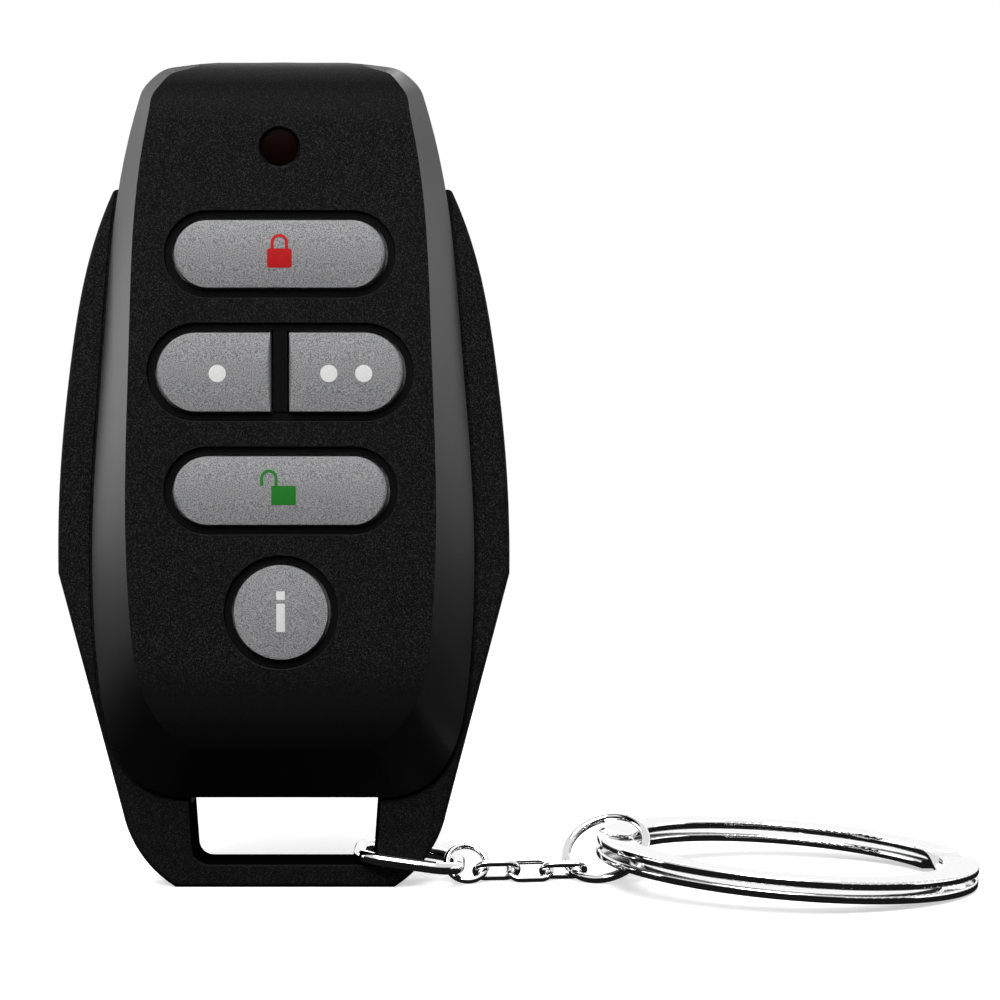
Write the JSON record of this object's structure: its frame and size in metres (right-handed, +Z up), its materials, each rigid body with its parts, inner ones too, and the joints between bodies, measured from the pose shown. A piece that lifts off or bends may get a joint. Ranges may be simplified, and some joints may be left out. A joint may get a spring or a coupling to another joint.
{
  "type": "alarm key fob",
  "caption": "Hand-held alarm remote with five keys, a signal lamp, a lanyard slot and a chain with a flat split ring.",
  "frame": {"origin": "centre of the underside of the bar below the lanyard slot", "axes": "+Z up along the case, the keys face -Y, +X to the right seen from the keys"},
  "size_m": [0.0823, 0.0343, 0.0732],
  "materials": {
    "case_black": "fine moulded texture",
    "key_grey": "fine speckle",
    "lens_red": "dark translucent red",
    "board_green": "solder mask",
    "copper": "bare copper",
    "chip_black": "moulded epoxy",
    "ceramic": "fired ceramic",
    "led_white": "clear epoxy",
    "cell_steel": "nickel plated",
    "spring_steel": "stamped",
    "switch_metal": "stamped cover",
    "plunger_white": "moulded nylon",
    "screw_steel": "black zinc",
    "chain_chrome": "bright nickel plate"
  },
  "bodies": {
    "case": {"front_shell": "case_black", "rear_shell": "case_black", "led_lens": "lens_red", "circuit_board": "board_green", "loop_antenna": "copper", "radio_chip": "chip_black", "crystal": "cell_steel", "status_led": "led_white", "chip_capacitors": "ceramic", "coin_cell": "cell_steel", "battery_contact": "spring_steel", "battery_clip": "spring_steel", "case_screw": "screw_steel", "lock_switch_base": "switch_metal", "one_dot_switch_base": "switch_metal", "two_dot_switch_base": "switch_metal", "unlock_switch_base": "switch_metal", "info_switch_base": "switch_metal"},
    "lock_key": {"lock_button": "key_grey", "lock_switch_plunger": "plunger_white"},
    "one_dot_key": {"one_dot_button": "key_grey", "one_dot_switch_plunger": "plunger_white"},
    "two_dot_key": {"two_dot_button": "key_grey", "two_dot_switch_plunger": "plunger_white"},
    "unlock_key": {"unlock_button": "key_grey", "unlock_switch_plunger": "plunger_white"},
    "info_key": {"info_button": "key_grey", "info_switch_plunger": "plunger_white"},
    "oblong_link": {"oblong_link": "chain_chrome"},
    "small_jump_ring": {"small_jump_ring": "chain_chrome"},
    "chain_link_a": {"chain_link_a": "chain_chrome"},
    "chain_link_b": {"chain_link_b": "chain_chrome"},
    "chain_link_c": {"chain_link_c": "chain_chrome"},
    "end_jump_ring": {"end_jump_ring": "chain_chrome"},
    "split_ring": {"split_ring": "chain_chrome"}
  },
  "joints": [
    {"name": "lock_press", "type": "slide", "parent": "case", "child": "lock_key", "axis": [0, 1, 0], "range_m": [0, 0.0004], "stiffness_N_per_m": 3000, "springref_m": -0.0001},
    {"name": "one_dot_press", "type": "slide", "parent": "case", "child": "one_dot_key", "axis": [0, 1, 0], "range_m": [0, 0.0004], "stiffness_N_per_m": 3000, "springref_m": -0.0001},
    {"name": "two_dot_press", "type": "slide", "parent": "case", "child": "two_dot_key", "axis": [0, 1, 0], "range_m": [0, 0.0004], "stiffness_N_per_m": 3000, "springref_m": -0.0001},
    {"name": "unlock_press", "type": "slide", "parent": "case", "child": "unlock_key", "axis": [0, 1, 0], "range_m": [0, 0.0004], "stiffness_N_per_m": 3000, "springref_m": -0.0001},
    {"name": "info_press", "type": "slide", "parent": "case", "child": "info_key", "axis": [0, 1, 0], "range_m": [0, 0.0004], "stiffness_N_per_m": 3000, "springref_m": -0.0001},
    {"name": "oblong_link_swing", "type": "hinge", "parent": "case", "child": "oblong_link", "pos_m": [0.01025, 0, 0.0025], "axis": [0, 0, 1], "range_deg": [-10, 10]},
    {"name": "small_jump_ring_swing", "type": "hinge", "parent": "oblong_link", "child": "small_jump_ring", "pos_m": [0.01547, 0, 0.00171], "axis": [0, 1, 0], "range_deg": [-25, 25]},
    {"name": "chain_link_a_swing", "type": "hinge", "parent": "small_jump_ring", "child": "chain_link_a", "pos_m": [0.01796, 0.00072, 0.00177], "axis": [-0.1339, 0.6153, 0.7768], "range_deg": [-20, 20]},
    {"name": "chain_link_b_swing", "type": "hinge", "parent": "chain_link_a", "child": "chain_link_b", "pos_m": [0.02077, 0.00073, 0.00105], "axis": [-0.0831, 0.6769, -0.7314], "range_deg": [-20, 20]},
    {"name": "chain_link_c_swing", "type": "hinge", "parent": "chain_link_b", "child": "chain_link_c", "pos_m": [0.02377, 0.00116, 0.00101], "axis": [-0.1011, 0.7195, 0.6871], "range_deg": [-20, 20]},
    {"name": "end_jump_ring_swing", "type": "hinge", "parent": "chain_link_c", "child": "end_jump_ring", "pos_m": [0.0268, 0.00133, 0.00096], "axis": [-0.0576, 0.7661, -0.6401], "range_deg": [-10, 10]},
    {"name": "split_ring_swing", "type": "hinge", "parent": "end_jump_ring", "child": "split_ring", "pos_m": [0.02946, 0.00219, 0.00283], "axis": [0, 0, 1], "range_deg": [-10, 4]}
  ]
}
